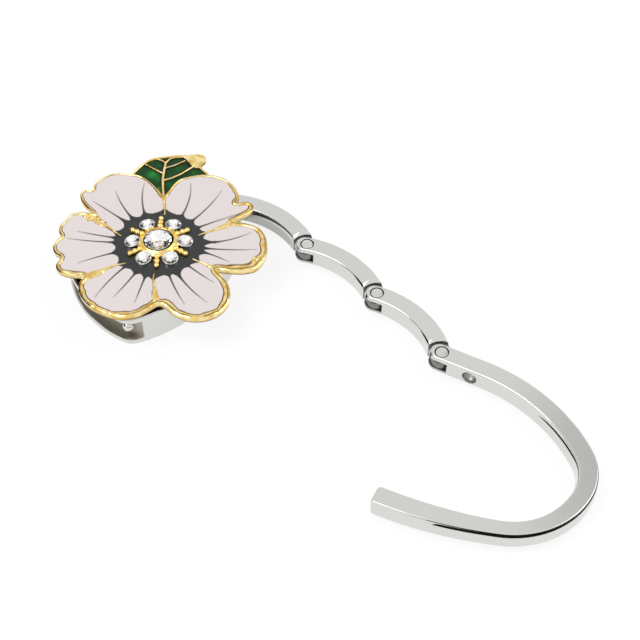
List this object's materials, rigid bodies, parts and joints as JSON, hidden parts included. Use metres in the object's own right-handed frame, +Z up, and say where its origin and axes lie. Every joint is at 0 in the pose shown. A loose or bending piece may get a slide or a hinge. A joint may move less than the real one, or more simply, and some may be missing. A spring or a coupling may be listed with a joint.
{
  "type": "folding bag hanger",
  "caption": "Folding bag hanger: a grooved round body with an enamelled flower on top, curved links hinged in a chain, and a hook for the bag's handle.",
  "frame": {"origin": "on the body's flat underside, straight below the centre of the flower's middle stone", "axes": "+Z up through the flower's face, out of the plane in which the links fold; the foot wall faces +X and -Y, and the links and hook lie towards +X and -Y when unfolded"},
  "size_m": [0.108, 0.0961, 0.0126],
  "materials": {
    "plated_metal": "bright nickel or chrome plating over a zinc casting",
    "polished_steel": "polished pin ends and a polished ball head",
    "gold_plating": "bright gold plating, darker in the hollows",
    "petal_enamel": "glossy pale pink enamel with fine grey veins",
    "centre_enamel": "glossy slate enamel",
    "leaf_enamel": "glossy translucent green enamel",
    "crystal": "clear faceted glass with a silvered back"
  },
  "bodies": {
    "base": {"base_body": "plated_metal", "catch_stud": "polished_steel", "pin_0": "polished_steel", "flower_casting": "gold_plating", "stone_setting": "gold_plating", "petal_enamel_right": "petal_enamel", "petal_enamel_upper_right": "petal_enamel", "petal_enamel_upper_left": "petal_enamel", "petal_enamel_left": "petal_enamel", "petal_enamel_lower_left": "petal_enamel", "petal_enamel_lower_right": "petal_enamel", "centre_enamel": "centre_enamel", "leaf_enamel_1": "leaf_enamel", "leaf_enamel_2": "leaf_enamel", "leaf_enamel_3": "leaf_enamel", "leaf_enamel_4": "leaf_enamel", "leaf_enamel_5": "leaf_enamel", "centre_crystal": "crystal", "side_crystal_1": "crystal", "side_crystal_2": "crystal", "side_crystal_3": "crystal", "side_crystal_4": "crystal", "side_crystal_5": "crystal", "side_crystal_6": "crystal"},
    "first_link": {"link_1": "plated_metal"},
    "second_link": {"link_2": "plated_metal", "pin_1": "polished_steel"},
    "third_link": {"link_3": "plated_metal", "pin_2": "polished_steel"},
    "hook_arm": {"hook": "plated_metal", "pin_3": "polished_steel"}
  },
  "joints": [
    {"name": "first_fold", "type": "hinge", "parent": "base", "child": "first_link", "pos_m": [0.0132, 0.0178, 0.0039], "axis": [0, 0, 1], "range_deg": [-13.62, 0]},
    {"name": "chain_fold", "type": "hinge", "parent": "first_link", "child": "second_link", "pos_m": [0.03083, 0.00447, 0.0039], "axis": [0, 0, 1], "range_deg": [-55.1, 0]},
    {"name": "third_fold", "type": "hinge", "parent": "second_link", "child": "third_link", "pos_m": [0.04538, -0.00939, 0.0039], "axis": [0, 0, 1], "range_deg": [-49.08, 0]},
    {"name": "hook_fold", "type": "hinge", "parent": "third_link", "child": "hook_arm", "pos_m": [0.05795, -0.02508, 0.0039], "axis": [0, 0, 1], "range_deg": [-62.4, 0]}
  ],
  "couplings": [
    {"joint": "first_fold", "follows": "chain_fold", "ratio": 0.2471},
    {"joint": "third_fold", "follows": "chain_fold", "ratio": 0.8907}
  ]
}
